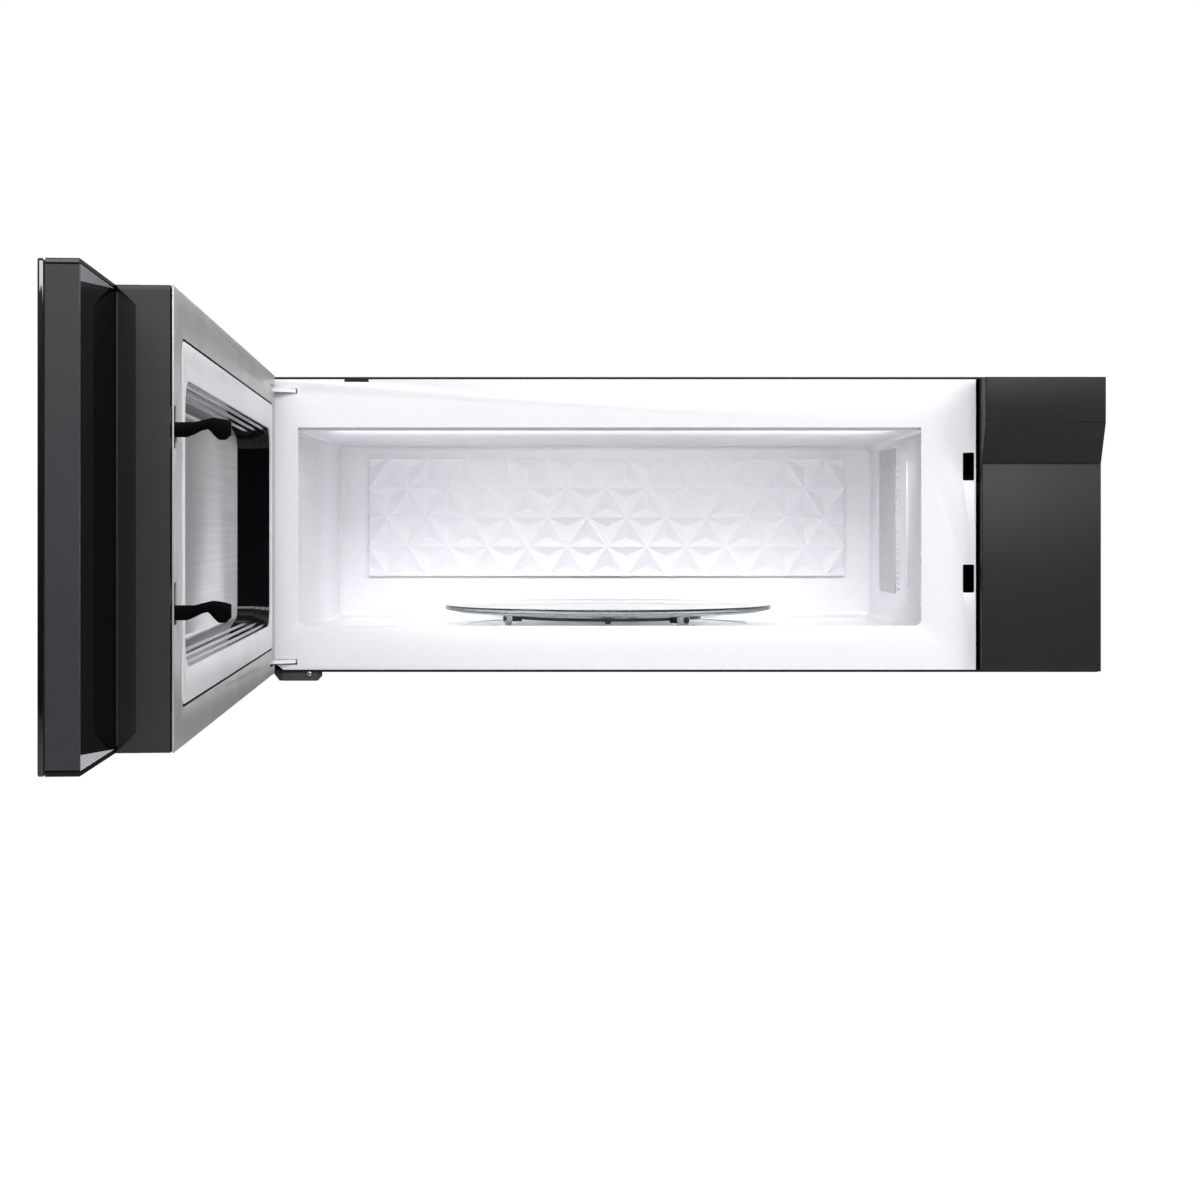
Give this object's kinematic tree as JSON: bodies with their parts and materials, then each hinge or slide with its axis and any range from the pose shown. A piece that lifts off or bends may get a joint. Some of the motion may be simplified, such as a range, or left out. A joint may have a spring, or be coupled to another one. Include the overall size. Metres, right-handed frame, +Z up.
{
  "type": "over-the-range microwave",
  "caption": "Low-profile over-the-range microwave oven with a full-width side-hung door standing open, glass turntable, vent blower and filters.",
  "frame": {"origin": "middle of the mounting plate's face on the wall, half way up the body", "axes": "+X to the user's right, +Y into the wall, +Z up; the door opens towards -Y"},
  "size_m": [0.7794, 1.1708, 0.2883],
  "materials": {
    "black_steel": "satin enamel paint",
    "zinc_steel": "zinc-coated, dull",
    "pin_steel": "turned steel",
    "white_enamel": "smooth semi-gloss enamel",
    "dark_satin": "fine satin grain",
    "black_plastic": "moulded, low sheen",
    "gloss_black": "polished",
    "choke_plastic": "light grey moulding",
    "pan_paint": "silver-grey metallic paint",
    "front_glass": "back-printed tempered glass",
    "smoked_window": "smoked, polished",
    "clear_window": "clear",
    "tray_glass": "pressed glass, faint green",
    "roller_plastic": "moulded, dark brown",
    "roller_tyre": "pale nylon",
    "mica": "pressed mica sheet",
    "core_steel": "varnished laminations",
    "magnetron_metal": "bright fins",
    "board_green": "lacquered board",
    "seal_rubber": "foam tape",
    "bush_brass": "turned",
    "spring_steel": "drawn wire",
    "filter_aluminium": "expanded mesh"
  },
  "bodies": {
    "cabinet": {"outer_cover": "black_steel", "side_panels": "black_steel", "base_plate": "black_steel", "motor_service_cover": "dark_satin", "back_panel": "zinc_steel", "wall_plate": "zinc_steel", "front_frame": "white_enamel", "cavity_liner": "white_enamel", "waveguide_cover": "mica", "waveguide": "zinc_steel", "magnetron": "magnetron_metal", "transformer": "core_steel", "capacitor": "magnetron_metal", "high_voltage_diode": "zinc_steel", "control_board": "board_green", "noise_filter": "board_green", "cord_inlet": "black_plastic", "fan_shroud": "black_plastic", "cooling_fan_motor": "core_steel", "cavity_lamp": "board_green", "thermal_cutouts": "zinc_steel", "column_fascia": "dark_satin", "latch_board": "black_plastic", "interlock_switches": "black_plastic", "lower_hinge_bracket": "white_enamel", "upper_hinge_bracket": "white_enamel", "hinge_pins": "pin_steel", "hinge_foot_cover": "dark_satin", "turntable_motor": "core_steel", "blower_housing": "zinc_steel", "blower_motor": "core_steel", "exhaust_adaptor": "zinc_steel", "charcoal_filter": "black_plastic", "lamp_lenses": "clear_window", "cooktop_lamps": "board_green", "cabinet_nuts": "zinc_steel", "case_screws": "black_steel"},
    "door": {"door_frame": "dark_satin", "hinge_bushes": "bush_brass", "pocket_panel": "gloss_black", "glass_seal": "seal_rubber", "door_glass": "front_glass", "touch_board": "board_green", "door_pan": "pan_paint", "window_screen": "pan_paint", "inner_window": "smoked_window", "choke_cover": "choke_plastic", "latch_spring": "spring_steel"},
    "latch": {"latch_bar": "black_plastic"},
    "tray": {"glass_tray": "tray_glass"},
    "coupler": {"drive_coupler": "roller_plastic"},
    "ring": {"roller_ring": "roller_plastic"},
    "roller_1": {"roller_wheel_1": "roller_tyre"},
    "roller_2": {"roller_wheel_2": "roller_tyre"},
    "roller_3": {"roller_wheel_3": "roller_tyre"},
    "fan": {"cooling_fan": "black_plastic"},
    "blower": {"blower_wheels": "zinc_steel"},
    "damper": {"damper_flap": "zinc_steel"},
    "filter_left": {"grease_filter_left": "filter_aluminium"},
    "filter_right": {"grease_filter_right": "filter_aluminium"}
  },
  "joints": [
    {"name": "door_hinge", "type": "hinge", "parent": "cabinet", "child": "door", "pos_m": [-0.3634, -0.4275, 0], "axis": [0, 0, -1], "range_deg": [-86, 14]},
    {"name": "latch_lift", "type": "slide", "parent": "door", "child": "latch", "axis": [0, 0, 1], "range_m": [0, 0.005], "stiffness_N_per_m": 600, "deforming": ["latch_spring"]},
    {"name": "tray_spin", "type": "hinge", "parent": "cabinet", "child": "tray", "pos_m": [-0.0513, -0.232, -0.08897], "axis": [0, 0, 1], "continuous": true},
    {"name": "coupler_spin", "type": "hinge", "parent": "cabinet", "child": "coupler", "pos_m": [-0.0513, -0.232, -0.08897], "axis": [0, 0, 1], "continuous": true},
    {"name": "ring_spin", "type": "hinge", "parent": "cabinet", "child": "ring", "pos_m": [-0.0513, -0.232, -0.08897], "axis": [0, 0, 1], "continuous": true},
    {"name": "roller_1_spin", "type": "hinge", "parent": "ring", "child": "roller_1", "pos_m": [-0.14693, -0.25762, -0.08897], "axis": [-0.9659, -0.2588, 0], "continuous": true},
    {"name": "roller_2_spin", "type": "hinge", "parent": "ring", "child": "roller_2", "pos_m": [0.0187, -0.302, -0.08897], "axis": [0.7071, -0.7071, 0], "continuous": true},
    {"name": "roller_3_spin", "type": "hinge", "parent": "ring", "child": "roller_3", "pos_m": [-0.02568, -0.13637, -0.08897], "axis": [0.2588, 0.9659, 0], "continuous": true},
    {"name": "fan_spin", "type": "hinge", "parent": "cabinet", "child": "fan", "pos_m": [0.312, -0.047, -0.01218], "axis": [0, 1, 0], "continuous": true},
    {"name": "blower_spin", "type": "hinge", "parent": "cabinet", "child": "blower", "pos_m": [-0.0513, -0.035, 0.01982], "axis": [1, 0, 0], "continuous": true},
    {"name": "damper_swing", "type": "hinge", "parent": "cabinet", "child": "damper", "pos_m": [0, -0.0783, 0.12118], "axis": [1, 0, 0], "range_deg": [0, 75]},
    {"name": "filter_left_drop", "type": "slide", "parent": "cabinet", "child": "filter_left", "axis": [0, 0, -1], "range_m": [0, 0.03]},
    {"name": "filter_right_drop", "type": "slide", "parent": "cabinet", "child": "filter_right", "axis": [0, 0, -1], "range_m": [0, 0.03]}
  ],
  "couplings": [
    {"joint": "coupler_spin", "follows": "tray_spin", "ratio": 1},
    {"joint": "ring_spin", "follows": "tray_spin", "ratio": 0.5},
    {"joint": "roller_1_spin", "follows": "tray_spin", "ratio": -7.6744},
    {"joint": "roller_2_spin", "follows": "tray_spin", "ratio": -7.6744},
    {"joint": "roller_3_spin", "follows": "tray_spin", "ratio": -7.6744}
  ]
}
